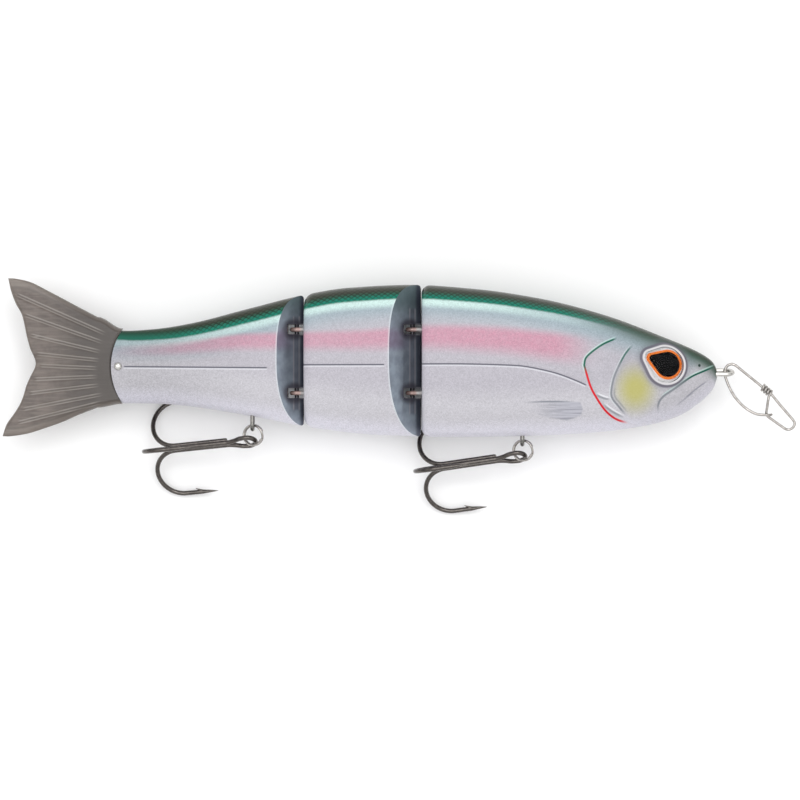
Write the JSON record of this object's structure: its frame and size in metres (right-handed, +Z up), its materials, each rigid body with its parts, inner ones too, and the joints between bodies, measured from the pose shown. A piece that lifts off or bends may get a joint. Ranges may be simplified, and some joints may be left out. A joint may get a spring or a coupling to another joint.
{
  "type": "jointed swimbait lure",
  "caption": "Jointed fish-shaped lure: rigid head, middle and rear sections on pin hinges, flexing soft tail, treble hooks on split rings and a wire snap at the nose.",
  "frame": {"origin": "on the table, under the middle of the whole lure, which lies on its left flank", "axes": "+X towards the nose, +Y towards the back, +Z up, out of the right flank"},
  "size_m": [0.2115, 0.063, 0.026],
  "materials": {
    "paint": "pearl paint under clear coat",
    "steel": "bright stainless wire",
    "nickel": "black nickel plate",
    "weight": "bare metal",
    "soft": "smoke-coloured translucent soft plastic",
    "foil": "printed foil",
    "lens": "clear domed resin"
  },
  "bodies": {
    "head": {"head_shell_right": "paint", "head_shell_left": "paint", "eye_foil_right": "foil", "eye_foil_left": "foil", "eye_lens_right": "lens", "eye_lens_left": "lens", "line_tie": "steel", "front_joint_eye_upper": "steel", "front_joint_eye_lower": "steel", "front_hook_hanger": "steel", "head_ballast_front": "weight", "head_ballast_rear": "weight"},
    "mid_section": {"mid_shell_right": "paint", "mid_shell_left": "paint", "front_hinge_pin": "steel", "rear_joint_eye_upper": "steel", "rear_joint_eye_lower": "steel", "mid_ballast": "weight"},
    "rear_section": {"rear_shell_right": "paint", "rear_shell_left": "paint", "rear_hinge_pin": "steel", "rear_hook_hanger": "steel", "rear_ballast": "weight", "tail_pin": "steel", "tail_root": "soft"},
    "tail": {"tail_fin": "soft"},
    "front_ring": {"front_split_ring": "nickel"},
    "front_treble": {"front_treble_double": "nickel", "front_treble_single": "nickel"},
    "rear_ring": {"rear_split_ring": "nickel"},
    "rear_treble": {"rear_treble_double": "nickel", "rear_treble_single": "nickel"},
    "snap": {"snap": "nickel"}
  },
  "joints": [
    {"name": "front_joint", "type": "hinge", "parent": "head", "child": "mid_section", "pos_m": [0.0033, 0.0094, 0.013], "axis": [0, 1, 0], "range_deg": [-35, 35]},
    {"name": "rear_joint", "type": "hinge", "parent": "mid_section", "child": "rear_section", "pos_m": [-0.0275, 0.0089, 0.013], "axis": [0, 1, 0], "range_deg": [-35, 35]},
    {"name": "tail_flex", "type": "hinge", "parent": "rear_section", "child": "tail", "pos_m": [-0.0806, 0.008, 0.013], "axis": [0, 1, 0], "range_deg": [-30, 30], "stiffness_Nm_per_rad": 0.03},
    {"name": "front_ring_swing", "type": "hinge", "parent": "head", "child": "front_ring", "pos_m": [0.0326, -0.01275, 0.013], "axis": [0, 0, 1], "range_deg": [0, 38]},
    {"name": "front_treble_swing", "type": "hinge", "parent": "front_ring", "child": "front_treble", "pos_m": [0.03086, -0.01593, 0.0123], "axis": [0, 1, 0], "range_deg": [-17, 0]},
    {"name": "rear_ring_swing", "type": "hinge", "parent": "rear_section", "child": "rear_ring", "pos_m": [-0.0393, -0.0087, 0.013], "axis": [0, 0, 1], "range_deg": [-9, 38]},
    {"name": "rear_treble_swing", "type": "hinge", "parent": "rear_ring", "child": "rear_treble", "pos_m": [-0.04104, -0.01188, 0.0123], "axis": [0, 1, 0], "range_deg": [-12, 10]},
    {"name": "snap_swing", "type": "hinge", "parent": "head", "child": "snap", "pos_m": [0.0886, 0.0065, 0.013], "axis": [0, 0, 1], "range_deg": [-45, 120]}
  ]
}
